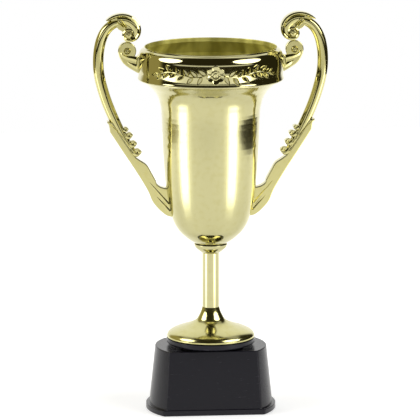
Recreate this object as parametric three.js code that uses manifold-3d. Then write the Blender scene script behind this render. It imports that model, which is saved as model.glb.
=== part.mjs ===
// Cup trophy on a black plastic base, 222 mm tall: a metallised plastic cup with a crown band and
// two scrolled handles, on a stem and a flared foot. One threaded rod clamps the stack together.
//
// Millimetres, +Z up, the front towards -Y, the origin on the floor under the middle of the base.

import * as THREE from 'three';
import { mergeVertices } from 'three/addons/utils/BufferGeometryUtils.js';
import Module from 'manifold-3d';

const wasm = await Module();
wasm.setup();

// ---------------------------------------------------------------- driving dimensions

const seatGap = 0.3;           // between pieces that rest on each other
const fitGap = 0.3;            // around a piece that passes through another

// Base: a hollow truncated cone with a plinth lip, cut flat in front and behind.
const baseHeight = 35.5;
const baseTopRadius = 30.9;
const baseFootRadius = 34.3;   // of the cone, where it meets the lip
const baseTopFlat = 19.2;      // from the axis to the front flat, at the top
const baseFootFlat = 22.4;     // and where it meets the lip
const lipRadius = 36.1;
const lipFlat = 22.8;
const lipHeight = 3.2;
const lipBevel = 0.5;
const baseWall = 2.0;
const bossRadius = 8.0;
const bossBottom = 9.0;        // height of the boss's underside above the floor

// Riser disc between the base and the foot.
const spigotRadius = 17.5;
const spigotHeight = 1.0;
const discRadius = 24.5;
const discThickness = 3.1;
const discBevel = 0.7;         // round the underside
const discEdge = 0.3;          // round the top

// Foot: a flared shell with a sleeve for the rod.
const footRadius = 24.4;
const footHeight = 16.8;
const footWall = 1.3;
const sleeveWall = 1.4;

const stemRadius = 4.65;
const stemLength = 29.9;

const knuckleRadius = 9.2;
const knuckleHeight = 5.3;

// Bowl: a shell that flares under the crown band into a flange.
const bowlFootRadius = 9.4;
const bowlRadius = 27.2;
const bellyHeight = 73.0;      // from the bowl's bottom to the start of the cove
const coveHeight = 18.6;
const bowlWall = 1.3;
const bowlFloor = 1.7;

// Crown band: a ring that caps the flange and forms the mouth.
const bandRadius = 40.3;
const bandHeight = 12.6;       // of the upright part
const shoulderHeight = 5.4;
const mouthRadius = 36.1;
const mouthBead = 0.6;         // the lip's rounding, inwards
const bandWall = 1.3;
const ledgeWidth = 2.0;
const ledgeThickness = 1.2;

// Handles.
const handleDepth = 6.4;       // front to back
const bracketDepth = 5.6;
const barRadius = 3.0;
const armRise = 7.2;           // from the band's bottom edge to the middle of the arm
const handleDrop = 75.0;       // from the middle of the arm to the middle of the lower tongue
const scrollStart = 32;        // degrees round the upper eye, where the top scroll is widest
const scrollEnd = 270;         // and where it has closed in
const scrollRadiusInner = 4.2;
const scrollSpread = 11.0;     // how much wider it is at its start
const lowerScrollRadius = 5.1;
const eyeRadius = 1.5;
const eyeRise = 0.4;           // above the scroll's face
const tongueDepth = 3.0;       // front to back
const tongueHeight = 5.0;
const tongueReach = 3.2;       // past the outer face of the wall it enters

// Hardware.
const rodRadius = 2.4;
const rodTail = 3.0;           // thread that shows past each nut
const nutFlats = 8.0;
const nutThickness = 4.0;
const washerRadius = 6.0;
const washerThickness = 1.0;

// ---------------------------------------------------------------- levels and fits

const bore = rodRadius + fitGap;
const discBottom = baseHeight + seatGap;
const discTop = discBottom + spigotHeight + discThickness;
const footBottom = discTop + seatGap;
const footTop = footBottom + footHeight;
const stemBottom = footTop + seatGap;
const stemTop = stemBottom + stemLength;
const knuckleBottom = stemTop + seatGap;
const knuckleTop = knuckleBottom + knuckleHeight;
const bowlBottom = knuckleTop + seatGap;
const coveBottom = bowlBottom + bellyHeight;
const flangeBottom = coveBottom + coveHeight;
const bandInner = bandRadius - bandWall;
const flangeRadius = bandInner - fitGap;
const bandBottom = flangeBottom;
const bandTop = bandBottom + bandHeight;
const mouthHeight = bandTop + shoulderHeight;
const armHeight = bandBottom + armRise;
const tongueLevel = armHeight - handleDrop;

// ---------------------------------------------------------------- shapes

const baseSegments = 56;
const bandSegments = 40;

const point = (x, y) => new THREE.Vector2(x, y);

// Points of an elliptical arc, both ends included; the angles are in degrees.
function arc(x, y, radiusX, radiusY, from, to, steps) {
  return Array.from({ length: steps + 1 }, (_, i) => {
    const angle = THREE.MathUtils.degToRad(from + (to - from) * i / steps);
    return point(x + radiusX * Math.cos(angle), y + radiusY * Math.sin(angle));
  });
}

// A curve moved by a distance to the left of its direction of travel.
function moveLeft(points, distance) {
  return points.map((p, i) => {
    const before = points[Math.max(i - 1, 0)];
    const after = points[Math.min(i + 1, points.length - 1)];
    const along = after.clone().sub(before).normalize();
    return point(p.x - distance * along.y, p.y + distance * along.x);
  });
}

// A solid of revolution about Z; the profile's points are (radius, height).
function revolve(profile, segments = 36) {
  return new THREE.LatheGeometry(profile, segments).rotateX(Math.PI / 2);
}

// A ring of revolution: the profile is closed on its first point.
const ring = (profile, segments) => revolve([...profile, profile[0].clone()], segments);

// An outline drawn as (x, z), extruded front to back about the middle plane.
function slab(outline, depth) {
  return new THREE.ExtrudeGeometry(new THREE.Shape(outline), { depth, bevelEnabled: false })
    .translate(0, 0, -depth / 2)
    .rotateX(Math.PI / 2);
}

const block = (width, depth, height, x, y, z) =>
  new THREE.BoxGeometry(width, depth, height).translate(x, y, z);

// ---------------------------------------------------------------- booleans

function toSolid(geometry) {
  const bare = geometry.clone();
  bare.deleteAttribute('normal');
  bare.deleteAttribute('uv');
  const merged = mergeVertices(bare, 1e-4);
  return new wasm.Manifold(new wasm.Mesh({
    numProp: 3,
    vertProperties: new Float32Array(merged.attributes.position.array),
    triVerts: new Uint32Array(merged.index.array),
  }));
}

function toGeometry(solid) {
  const { vertProperties, triVerts } = solid.getMesh();
  const geometry = new THREE.BufferGeometry();
  geometry.setAttribute('position', new THREE.BufferAttribute(vertProperties, 3));
  geometry.setIndex(new THREE.BufferAttribute(triVerts, 1));
  geometry.computeVertexNormals();
  return geometry;
}

const joined = (first, ...others) =>
  others.reduce((solid, geometry) => solid.add(toSolid(geometry)), toSolid(first));

const cut = (solid, ...tools) =>
  tools.reduce((rest, geometry) => rest.subtract(toSolid(geometry)), solid);

// ---------------------------------------------------------------- materials and nodes

const gold = { color: 0xcfc78f, metalness: 1.0, roughness: 0.12 };
const blackPlastic = { color: 0x2a2a2e, metalness: 0.0, roughness: 0.35 };
const zinc = { color: 0xb4b6b8, metalness: 1.0, roughness: 0.4 };

const trophy = new THREE.Group();

function addPart(name, geometry, finish) {
  const mesh = new THREE.Mesh(geometry, new THREE.MeshStandardMaterial(finish));
  mesh.name = name;
  trophy.add(mesh);
  return mesh;
}

// ---------------------------------------------------------------- base and riser disc

// The base's outline of revolution, and the wedge between its front and back flats.
function baseBody(inset, bottom) {
  const slope = (baseFootRadius - baseTopRadius) / (baseHeight - lipHeight);
  const top = baseHeight - inset;
  const foot = baseFootRadius - inset;
  const cone = revolve([
    point(0, bottom),
    point(foot + slope * (lipHeight - bottom), bottom),
    point(foot - slope * (top - lipHeight), top),
    point(0, top),
  ], baseSegments);
  const flatSlope = (baseFootFlat - baseTopFlat) / (baseHeight - lipHeight);
  const flatAt = (z) => baseFootFlat - inset - flatSlope * (z - lipHeight);
  const low = bottom - 1;
  const high = top + 1;
  const wedge = new THREE.ExtrudeGeometry(new THREE.Shape([
    point(-flatAt(low), low),
    point(flatAt(low), low),
    point(flatAt(high), high),
    point(-flatAt(high), high),
  ]), { depth: 4 * lipRadius, bevelEnabled: false })
    .translate(0, 0, -2 * lipRadius)
    .rotateX(Math.PI / 2)
    .rotateZ(Math.PI / 2);
  return toSolid(cone).intersect(toSolid(wedge));
}

function baseGeometry() {
  const lip = toSolid(revolve([
    point(0, 0),
    point(lipRadius, 0),
    point(lipRadius, lipHeight - lipBevel),
    point(lipRadius - lipBevel, lipHeight),
    point(0, lipHeight),
  ], baseSegments)).intersect(toSolid(block(3 * lipRadius, 2 * lipFlat, 3 * lipHeight, 0, 0, 0)));
  const hollow = baseBody(baseWall, -1);
  const boss = ring([
    point(bore, bossBottom),
    point(bossRadius, bossBottom),
    point(bossRadius, baseHeight - baseWall / 2),
    point(bore, baseHeight - baseWall / 2),
  ], 24);
  const rodHole = revolve([
    point(0, 0),
    point(bore, 0),
    point(bore, 2 * baseHeight),
    point(0, 2 * baseHeight),
  ], 24);
  const shell = baseBody(0, lipHeight / 2).add(lip).subtract(hollow).add(toSolid(boss));
  return toGeometry(cut(shell, rodHole));
}

function discGeometry() {
  const bottom = discBottom + spigotHeight;
  return ring([
    point(bore, discBottom),
    point(spigotRadius, discBottom),
    point(spigotRadius, bottom),
    point(discRadius - discBevel, bottom),
    point(discRadius, bottom + discBevel),
    point(discRadius, discTop - discEdge),
    point(discRadius - discEdge, discTop),
    point(bore, discTop),
  ]);
}

// ---------------------------------------------------------------- foot, stem and knuckle

// The flare from the rim up to the stem, as (radius, height above the foot's bottom edge).
function footOutline() {
  const flare = new THREE.SplineCurve([
    point(footRadius, 0.2),
    point(footRadius - 0.2, 1.2),
    point(footRadius - 1.1, 2.6),
    point(footRadius - 3.2, 4.1),
    point(footRadius - 8.2, 6.1),
    point(stemRadius + 5.4, 8.0),
    point(stemRadius + 2.2, 10.5),
    point(stemRadius + 0.8, 13.3),
    point(stemRadius, footHeight),
  ]);
  return flare.getPoints(12).map((p) => point(p.x, footBottom + p.y));
}

function footGeometry() {
  const outside = footOutline();
  const sleeve = bore + sleeveWall;
  const inside = moveLeft(outside, footWall).filter((p) => p.x > sleeve + 0.3).reverse();
  return ring([
    point(footRadius - footWall, footBottom),
    point(footRadius - 0.2, footBottom),
    ...outside,
    point(bore, footTop),
    point(bore, footBottom),
    point(sleeve, footBottom),
    point(sleeve, inside[0].y),
    ...inside.slice(0, -1),
  ]);
}

const stemGeometry = () => ring([
  point(bore, stemBottom),
  point(stemRadius, stemBottom),
  point(stemRadius, stemTop),
  point(bore, stemTop),
], 28);

const knuckleGeometry = () => ring([
  point(bore, knuckleBottom),
  point(stemRadius, knuckleBottom),
  ...new THREE.SplineCurve([
    point(stemRadius + 0.3, knuckleBottom + 0.1),
    point(knuckleRadius - 2.6, knuckleBottom + 1.4),
    point(knuckleRadius - 0.7, knuckleBottom + 3.1),
    point(knuckleRadius, knuckleTop - 0.2),
  ]).getPoints(5),
  point(knuckleRadius - 0.2, knuckleTop),
  point(bore, knuckleTop),
], 32);

// ---------------------------------------------------------------- bowl and crown band

// The bowl's outside from its bottom edge to the flange's rim.
function bowlOutline() {
  const belly = new THREE.SplineCurve([
    point(bowlFootRadius, 0),
    point(bowlRadius - 12.2, 4.3),
    point(bowlRadius - 7.7, 9.7),
    point(bowlRadius - 5.0, 16.4),
    point(bowlRadius - 3.1, 25.5),
    point(bowlRadius - 1.7, 38.0),
    point(bowlRadius - 0.6, 55.0),
    point(bowlRadius, bellyHeight),
  ]).getPoints(11).map((p) => point(p.x, bowlBottom + p.y));
  const cove = arc(flangeRadius, coveBottom, flangeRadius - bowlRadius, coveHeight, 180, 90, 6);
  return [...belly, ...cove.slice(1)];
}

// The bowl's outside radius at a height on its belly; below the bowl, that of its bottom edge.
function bowlRadiusAt(z) {
  const outline = bowlOutline();
  const above = Math.max(outline.findIndex((p) => p.y > z), 1);
  const [low, high] = [outline[above - 1], outline[above]];
  return THREE.MathUtils.mapLinear(Math.max(z, low.y), low.y, high.y, low.x, high.x);
}

// Slots where a pair of tongues enters the wall on the left and on the right.
const tongueSlots = (radius, z) =>
  block(2 * (radius + 5), tongueDepth + 2 * fitGap, tongueHeight + 2 * fitGap, 0, 0, z);

function bowlGeometry() {
  const outside = bowlOutline();
  const floor = bowlBottom + bowlFloor;
  const inside = moveLeft(outside, bowlWall).filter((p) => p.y > floor + 0.2).reverse();
  const shell = toSolid(ring([
    point(bore, bowlBottom),
    ...outside,
    ...inside,
    point(inside.at(-1).x - 1.0, floor),
    point(bore, floor),
  ]));
  return toGeometry(cut(shell, tongueSlots(bowlRadius, tongueLevel)));
}

// The outside of the crown band from its bottom edge to the lip.
const bandOutline = () => [
  point(bandRadius - 0.4, bandBottom),
  point(bandRadius, bandBottom + 0.7),
  point(bandRadius, bandTop - 0.9),
  ...arc(mouthRadius + 0.8, bandTop, bandRadius - mouthRadius - 0.95, shoulderHeight - 1.2, 12, 80, 4),
  point(mouthRadius + 0.25, mouthHeight - 0.2),
];

function bandGeometry() {
  const ledgeBottom = flangeBottom + bowlWall + seatGap;
  const ledgeTop = ledgeBottom + ledgeThickness;
  const shell = toSolid(ring([
    point(bandInner, bandBottom),
    ...bandOutline(),
    point(mouthRadius - 0.1, mouthHeight),
    point(mouthRadius - mouthBead, mouthHeight - 0.4),
    point(mouthRadius - mouthBead, mouthHeight - 1.4),
    point(bandInner, bandTop - 0.9),
    point(bandInner, ledgeTop),
    point(bandInner - ledgeWidth, ledgeTop),
    point(bandInner - ledgeWidth, ledgeBottom),
    point(bandInner, ledgeBottom),
  ], bandSegments));
  return toGeometry(cut(shell, tongueSlots(bandRadius, armHeight)));
}

// ---------------------------------------------------------------- handles

// A point of the handle: how far outside the band, and how far above the middle of the arm.
const onHandle = (out, up) => point(bandRadius + out, armHeight + up);

// Below the arm the handle hangs between its two joints, so heights there are shares of its drop.
const onDrop = (out, share) => point(bandRadius + out, armHeight - share * handleDrop);

const upperEye = onHandle(4.8, 18.1);
const lowerEye = onHandle(5.8, 9.2);

// The radius of the top scroll about its eye: wide at the leaf tip, closing in to the eye.
function scrollRadius(angle) {
  const left = Math.max((scrollEnd - angle) / (scrollEnd - scrollStart), 0);
  return scrollRadiusInner + scrollSpread * Math.pow(left, 1.7);
}

function topScroll() {
  const outline = [];
  for (let angle = scrollStart; angle <= scrollStart + 363; angle += 12) {
    const turn = THREE.MathUtils.degToRad(angle);
    const radius = scrollRadius(angle);
    outline.push(point(upperEye.x + radius * Math.cos(turn), upperEye.y + radius * Math.sin(turn)));
  }
  outline.push(onHandle(11.5, 21.4));
  return slab(outline, handleDepth);
}

// The lower scroll and the arm that joins it to the band.
function arm() {
  const underside = new THREE.SplineCurve([
    onHandle(0.2, -3.1),
    onHandle(2.9, -1.7),
    onHandle(6.6, 0.6),
    onHandle(9.1, 3.6),
  ]).getPoints(6);
  return slab([
    onHandle(-3.0, -3.4),
    ...underside,
    ...arc(lowerEye.x, lowerEye.y, lowerScrollRadius, lowerScrollRadius, -28, 215, 14),
    onHandle(-3.0, 5.6),
  ], handleDepth - 0.4);
}

function bar() {
  const route = new THREE.CatmullRomCurve3([
    onHandle(7.0, 25.1),
    onHandle(13.5, 23.1),
    onHandle(18.7, 17.3),
    onHandle(21.4, 8.0),
    onDrop(21.3, 0.027),
    onDrop(18.9, 0.173),
    onDrop(14.5, 0.340),
    onDrop(3.2, 0.647),
  ].map((p) => new THREE.Vector3(p.x, 0, p.y)));
  const section = new THREE.Shape(arc(0, 0, barRadius, barRadius, 0, 324, 9));
  return new THREE.ExtrudeGeometry(section, { steps: 30, extrudePath: route, bevelEnabled: false });
}

// The leaf-shaped bracket from the bar down to the bowl.
function bracket() {
  const besideBowl = (gap, share) => {
    const z = armHeight - share * handleDrop;
    return point(bowlRadiusAt(z) + gap, z);
  };
  const outerEdge = new THREE.SplineCurve([
    besideBowl(1.0, 1.112),
    besideBowl(5.0, 1.079),
    besideBowl(9.4, 0.972),
    onDrop(1.4, 0.764),
    onDrop(8.4, 0.621),
    onDrop(15.4, 0.475),
  ]).getPoints(14);
  const innerEdge = new THREE.SplineCurve([
    onDrop(-1.1, 0.689),
    onDrop(-4.7, 0.723),
    besideBowl(8.0, 0.781),
    besideBowl(5.2, 0.861),
    besideBowl(2.6, 0.891),
    besideBowl(0.0, 0.901),
  ]).getPoints(10);
  return slab([
    besideBowl(-2.5, 1.112),
    ...outerEdge,
    onDrop(16.9, 0.400),
    onDrop(14.2, 0.389),
    onDrop(3.5, 0.621),
    ...innerEdge,
    besideBowl(-2.5, 0.901),
  ], bracketDepth);
}

// Curls along the inner edge of the bracket, as discs (out, share of the drop, radius).
const curls = () => [
  [0.5, 0.652, 2.2],
  [2.6, 0.579, 1.9],
  [4.4, 0.512, 1.9],
  [6.9, 0.464, 1.6],
].map(([out, share, radius]) => {
  const centre = onDrop(out, share);
  return slab(arc(centre.x, centre.y, radius, radius, 0, 330, 11), bracketDepth - 1);
});

// Eyes: small round buttons on the front and back of each scroll.
const eyes = () => [upperEye, lowerEye].map((centre) =>
  slab(arc(centre.x, centre.y, eyeRadius, eyeRadius, 0, 330, 11), handleDepth + 2 * eyeRise));

// A tongue that passes through a wall whose outer face is at this radius.
function tongue(radius, z, root) {
  const inner = radius - tongueReach;
  const outer = radius + root;
  return block(outer - inner, tongueDepth, tongueHeight, (inner + outer) / 2, 0, z);
}

function handleGeometry() {
  const bandSpace = revolve([
    point(0, bandBottom - 4),
    point(bandRadius + seatGap, bandBottom - 4),
    ...moveLeft(bandOutline().slice(1), -seatGap),
    point(0, mouthHeight + seatGap),
  ], bandSegments);
  const bowlSpace = revolve([
    point(0, bowlBottom),
    ...moveLeft(bowlOutline(), -seatGap),
    point(0, flangeBottom),
  ]);
  const body = joined(bar(), topScroll(), arm(), bracket(), ...curls(), ...eyes());
  const trimmed = cut(body, bandSpace, bowlSpace);
  return toGeometry(trimmed
    .add(toSolid(tongue(bandRadius, armHeight, 2.0)))
    .add(toSolid(tongue(bowlRadiusAt(tongueLevel), tongueLevel, 2.0))));
}

// ---------------------------------------------------------------- hardware

const washerGeometry = () => ring([
  point(bore, 0),
  point(washerRadius, 0),
  point(washerRadius, washerThickness),
  point(bore, washerThickness),
], 24);

function nutGeometry() {
  const corner = nutFlats / Math.sqrt(3);
  const hexagon = new THREE.Shape(arc(0, 0, corner, corner, 0, 300, 5));
  hexagon.holes.push(new THREE.Path(arc(0, 0, bore, bore, 0, 345, 23)));
  return new THREE.ExtrudeGeometry(hexagon, { depth: nutThickness, bevelEnabled: false });
}

// ---------------------------------------------------------------- assembly

addPart('base', baseGeometry(), blackPlastic);
addPart('riser_disc', discGeometry(), blackPlastic);
addPart('foot', footGeometry(), gold);
addPart('stem', stemGeometry(), gold);
addPart('knuckle', knuckleGeometry(), gold);
addPart('bowl', bowlGeometry(), gold);
addPart('crown_band', bandGeometry(), gold);

const handle = handleGeometry();
addPart('handle_right', handle, gold);
addPart('handle_left', handle, gold).rotation.z = Math.PI;

const bowlFloorTop = bowlBottom + bowlFloor;
const topWasher = bowlFloorTop + seatGap;
const topNut = topWasher + washerThickness + seatGap;
const bottomWasher = bossBottom - seatGap - washerThickness;
const bottomNut = bottomWasher - seatGap - nutThickness;
addPart('bowl_washer', washerGeometry(), zinc).position.z = topWasher;
addPart('bowl_nut', nutGeometry(), zinc).position.z = topNut;
addPart('base_washer', washerGeometry(), zinc).position.z = bottomWasher;
addPart('base_nut', nutGeometry(), zinc).position.z = bottomNut;

const rodBottom = bottomNut - rodTail;
const rodTop = topNut + nutThickness + rodTail;
addPart('tie_rod', new THREE.CylinderGeometry(rodRadius, rodRadius, rodTop - rodBottom, 20)
  .rotateX(Math.PI / 2), zinc).position.z = (rodTop + rodBottom) / 2;

export default trophy;
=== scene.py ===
# %% [markdown]
# # A gold cup trophy on a black base
# This lesson dresses a working model of a small award cup: a bowl with a crown band, two scrolled
# handles, a stem, a flared foot, and a black plinth, all held on one rod. The working model already
# has the right sizes and fits, so every piece here takes its place from it. What is left to make
# is what the eye sees: smooth turned shells, a garland in relief, carved-looking handles, and a
# thin metal coating on plastic that reflects the whole studio.

# %% The working model
import math

import bmesh
import bpy
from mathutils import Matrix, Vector


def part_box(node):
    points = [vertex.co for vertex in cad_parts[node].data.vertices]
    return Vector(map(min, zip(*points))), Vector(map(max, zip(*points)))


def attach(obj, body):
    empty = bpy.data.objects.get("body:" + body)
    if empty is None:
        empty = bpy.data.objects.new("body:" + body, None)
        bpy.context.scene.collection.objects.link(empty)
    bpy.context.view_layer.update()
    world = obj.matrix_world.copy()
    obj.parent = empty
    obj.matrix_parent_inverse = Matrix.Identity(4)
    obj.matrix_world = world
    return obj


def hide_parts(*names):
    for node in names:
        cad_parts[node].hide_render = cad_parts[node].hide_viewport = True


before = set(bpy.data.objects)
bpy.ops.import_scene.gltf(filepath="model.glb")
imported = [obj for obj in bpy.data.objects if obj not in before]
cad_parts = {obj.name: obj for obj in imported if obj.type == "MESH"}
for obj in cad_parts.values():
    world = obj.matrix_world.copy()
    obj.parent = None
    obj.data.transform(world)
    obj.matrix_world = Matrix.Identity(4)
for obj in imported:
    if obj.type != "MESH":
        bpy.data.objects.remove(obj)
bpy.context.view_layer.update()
MM = 0.001

# %% [markdown]
# ## Sizes
# The turned pieces stack on one axis, so each needs only its two levels and its radius. They are
# measured from the boxes of the working model, in millimetres, because trophies are drawn in
# millimetres. Finished meshes are scaled to metres when they are made.

# %% Levels and radii
def measure(node):
    """The lowest level, the highest level and the half width of a node, in millimetres."""
    low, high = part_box(node)
    return low[2] / MM, high[2] / MM, high[0] / MM


_, base_top, lip_radius = measure("base")
disc_bottom, disc_top, disc_radius = measure("riser_disc")
foot_bottom, foot_top, foot_radius = measure("foot")
_, _, stem_radius = measure("stem")
knuckle_bottom, knuckle_top, knuckle_radius = measure("knuckle")
bowl_bottom, flange_top, flange_radius = measure("bowl")
band_bottom, mouth_top, band_radius = measure("crown_band")
lip_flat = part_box("base")[1][1] / MM
handle_half_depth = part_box("handle_right")[1][1] / MM
# Every turned piece has this bore, which clears the rod.
rod_bore = 2.7
# Where two pieces meet in sight, one reaches a hair into the other, so that no light shows between.
hair = 0.05
print("bowl from", round(bowl_bottom, 1), "to", round(flange_top, 1), "mm, band", round(band_radius, 1))

# %% [markdown]
# ## Writing node trees as Python
# Materials and geometry are both node trees. Wiring them by hand takes many lines, so a small class
# wraps a socket: arithmetic on it adds Math nodes, and one method adds any other node. The same
# class serves both kinds of tree.

# %% Wires
class Wire:
    """A socket of a node tree. Sums and products of wires add Math nodes."""

    def __init__(self, tree, socket=None):
        self.tree = tree
        self.socket = socket

    def node(self, kind, settings=None, inputs=None, output=0):
        """Adds a node, sets it, then fills its sockets; returns one output as a wire."""
        made = self.tree.nodes.new(kind)
        for name, value in (settings or {}).items():
            setattr(made, name, value)
        for key, value in (inputs or {}).items():
            for one in value if isinstance(value, list) else [value]:
                if isinstance(one, Wire):
                    self.tree.links.new(one.socket, made.inputs[key])
                else:
                    made.inputs[key].default_value = one
        return Wire(self.tree, made.outputs[output]) if made.outputs else None

    def math(self, operation, *values):
        """A Math node on some values; the result is a wire."""
        return self.node("ShaderNodeMath", {"operation": operation}, dict(enumerate(values)))

    def __add__(self, other):
        return self.math("ADD", self, other)

    def __sub__(self, other):
        return self.math("SUBTRACT", self, other)

    def __mul__(self, other):
        return self.math("MULTIPLY", self, other)

    def __truediv__(self, other):
        return self.math("DIVIDE", self, other)

    def __radd__(self, other):
        return self.math("ADD", other, self)

    def __rsub__(self, other):
        return self.math("SUBTRACT", other, self)

    def __rmul__(self, other):
        return self.math("MULTIPLY", other, self)

    def __rtruediv__(self, other):
        return self.math("DIVIDE", other, self)

    def between(self, low, high):
        """0 at low, 1 at high, smooth in between."""
        return self.node(
            "ShaderNodeMapRange", {"interpolation_type": "SMOOTHSTEP"}, {0: self, 1: low, 2: high}
        )


def combine(x, y, z):
    """A vector from three numbers or wires, one of which is a wire."""
    wire = next(value for value in (x, y, z) if isinstance(value, Wire))
    return wire.node("ShaderNodeCombineXYZ", None, {0: x, 1: y, 2: z})


def parts_of(vector):
    """The three numbers of a vector."""
    first = vector.node("ShaderNodeSeparateXYZ", None, {0: vector})
    return [Wire(vector.tree, out) for out in first.socket.node.outputs]


# %% [markdown]
# ## Camera
# The trophy is seen from a little above and a little to the left of its front, through a long lens
# from two metres away, which keeps the sides of the cup almost parallel.

# %% A long lens from two metres
def linked(name, data):
    """A new object in the scene, from its data."""
    made = bpy.data.objects.new(name, data)
    bpy.context.collection.objects.link(made)
    return made


view_azimuth = math.radians(-5.2)
view_distance = 2.05
view_height = 0.49
aim_height, aim_left = 0.1114, 0.0004
right = Vector((math.cos(view_azimuth), math.sin(view_azimuth), 0.0))
aim = Vector((0.0, 0.0, aim_height)) - right * aim_left

camera_data = bpy.data.cameras.new("long_lens")
camera_data.sensor_width = 36.0
camera_data.lens = 323.0
camera_data.clip_end = 50.0
camera = linked("long_lens", camera_data)
camera.location = (
    view_distance * math.sin(view_azimuth),
    -view_distance * math.cos(view_azimuth),
    view_height,
)
camera.rotation_euler = (aim - camera.location).to_track_quat("-Z", "Y").to_euler()
bpy.context.scene.camera = camera
print("camera at", [round(c, 3) for c in camera.location])

# %% [markdown]
# ## Studio
# A mirror-like cup shows what stands around it, so the studio is part of its look, and a plain white
# room would leave the cup without any drawing. The cup stands on a pale table of limited size,
# between two large oval soft boxes. The table has painted light: it glows a little, though it is no
# lamp, which keeps its shadows faint, and a painted pool of light lies on it on each side. The
# table's edges are dark lines in the cup, so its corners decide where the dark marks on the bowl end.

# %% Table
table_corners = [(-1.14, -1.90), (0.79, -1.90), (0.61, 0.95), (-0.57, 0.95)]
table_level = -0.0002
# The directions, in degrees, of the two painted pools of light on the table.
painted_pool_directions = (-73, 49)


def empty_finish(name):
    """A material without nodes, and its first wire."""
    finish = bpy.data.materials.new(name)
    finish.use_nodes = True
    finish.node_tree.nodes.clear()
    return finish, Wire(finish.node_tree)


def close_finish(start, sockets):
    """Ends a material in one shader with the given sockets."""
    shader = start.node("ShaderNodeBsdfPrincipled", None, sockets)
    start.node("ShaderNodeOutputMaterial", None, {"Surface": shader})


def make_table():
    """The table, with painted light: a painted glow, brighter behind the cup, and brightest in two painted
    pools of light, a direction each.
    """
    mesh = bpy.data.meshes.new("table")
    mesh.from_pydata([(x, y, table_level) for x, y in table_corners], [], [(0, 1, 2, 3)])
    finish, start = empty_finish("white_with_painted_glow")
    x, y, _ = parts_of(start.node("ShaderNodeTexCoord", output="Object"))
    away = start.math("SQRT", x * x + y * y)
    painted_pools = 0.0
    for degrees in painted_pool_directions:
        ahead = math.radians(degrees)
        towards = (x * math.sin(ahead) - y * math.cos(ahead)) / away
        rim, core = towards.between(0.90, 0.995), towards.between(0.965, 0.998)
        painted_pools = painted_pools + rim * 0.5 + core * 2.6
    # Painted light: the table's emission makes it glow though it is no lamp, which keeps its shadows faint,
    # and adds two painted pools of light.
    painted_glow = 0.55 + y.between(0.02, 0.30) * 0.35 + painted_pools * away.between(0.14, 0.42)
    close_finish(start, {
        "Base Color": (0.75, 0.75, 0.75, 1.0),
        "Roughness": 0.8,
        "Specular IOR Level": 0.1,
        "Emission Color": combine(painted_glow, painted_glow, painted_glow),
        "Emission Strength": 1.0,
    })
    mesh.materials.append(finish)
    linked("table", mesh)


make_table()
print("table with", len(painted_pool_directions), "painted_pools")

# %% Soft boxes
lamp_aim = Vector((0.0, 0.0, 0.12))


def soft_box(name, degrees, rise, distance, size, power):
    """A soft box seen from the cup in a direction (from the front, to the right) and at a rise."""
    data = bpy.data.lights.new(name, "AREA")
    data.shape = "ELLIPSE"
    data.size, data.size_y = size
    data.energy = power
    lamp = linked(name, data)
    turn, lift = math.radians(degrees), math.radians(rise)
    ray = Vector((math.sin(turn) * math.cos(lift), -math.cos(turn) * math.cos(lift), math.sin(lift)))
    lamp.location = lamp_aim + ray * distance
    lamp.rotation_euler = (-ray).to_track_quat("-Z", "Y").to_euler()


soft_box("soft_box_left", -79, 33, distance=1.1, size=(0.78, 0.70), power=5.6)
soft_box("soft_box_right", 60, 33, distance=1.1, size=(0.92, 0.70), power=6.8)
print("soft boxes:", [lamp.name for lamp in bpy.data.lights])

# %% [markdown]
# ### World
# The rest of the studio is drawn from the direction alone, as a world needs no meshes: a white
# backdrop, a dim wall at the back left, a bright strip at eye level in front, a strip of ceiling, and
# a warm dark room between them. Seen straight by the camera all of it is white, like a cleared
# background; only what the cup reflects has these shapes.

# %% World
room_light = 0.030
warm_colour = (1.0, 0.88, 0.38)


def make_world():
    """The world, as a sum of soft-edged patches; x, y and z are the direction's parts."""
    world = bpy.data.worlds.new("studio")
    world.use_nodes = True
    tree = world.node_tree
    tree.nodes.clear()
    start = Wire(tree)
    x, y, z = parts_of(start.node("ShaderNodeTexCoord", output="Generated"))
    level = start.math("SQRT", x * x + y * y)
    to_back, to_left, to_front = y / level, 0 - x / level, 0 - y / level
    behind = to_back.between(0.74, 0.90)
    backdrop = behind * (1 - z.between(0.86, 0.95)) * 1.15
    back_left = to_left.between(0.48, 0.62) * to_back.between(-0.10, 0.10) * (1 - behind)
    left_wall = back_left * (1 - z.between(0.55, 0.80)) * 0.40
    eye_level = z.between(-0.01, 0.02) * (1 - z.between(0.10, 0.16))
    eye_strip = to_front.between(0.35, 0.60) * eye_level * 0.85
    overhead = z.between(0.70, 0.78) * (1 - z.between(0.88, 0.95))
    ceiling = to_back.between(-0.10, 0.40) * overhead * 0.5
    seen = backdrop + eye_strip + ceiling * (1 - backdrop)
    camera_ray = start.node("ShaderNodeLightPath", output="Is Camera Ray")
    white = camera_ray + (1 - camera_ray) * seen
    warm = (1 - camera_ray) * (left_wall + room_light)
    colour = combine(*[white + warm * share for share in warm_colour])
    light = start.node("ShaderNodeBackground", None, {"Color": colour, "Strength": 1.0})
    start.node("ShaderNodeOutputWorld", None, {"Surface": light})
    bpy.context.scene.world = world


make_world()
bpy.context.scene.view_settings.view_transform = "Standard"
print("world:", bpy.context.scene.world.name)

# %% [markdown]
# ## Finishes
# Three finishes are on the real object: a metal coating, black plastic, and zinc on the steel parts.
# All their patterns are drawn on object coordinates in millimetres, so they sit still on a piece
# whatever its shape, and no piece needs to be unwrapped.

# %% Shared helpers for finishes
def new_finish(name):
    """An empty material, its first wire and its object coordinates in millimetres."""
    finish, start = empty_finish(name)
    place = start.node("ShaderNodeTexCoord", output="Object")
    place = start.node("ShaderNodeVectorMath", {"operation": "SCALE"}, {0: place, "Scale": 1 / MM})
    return finish, start, place


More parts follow.
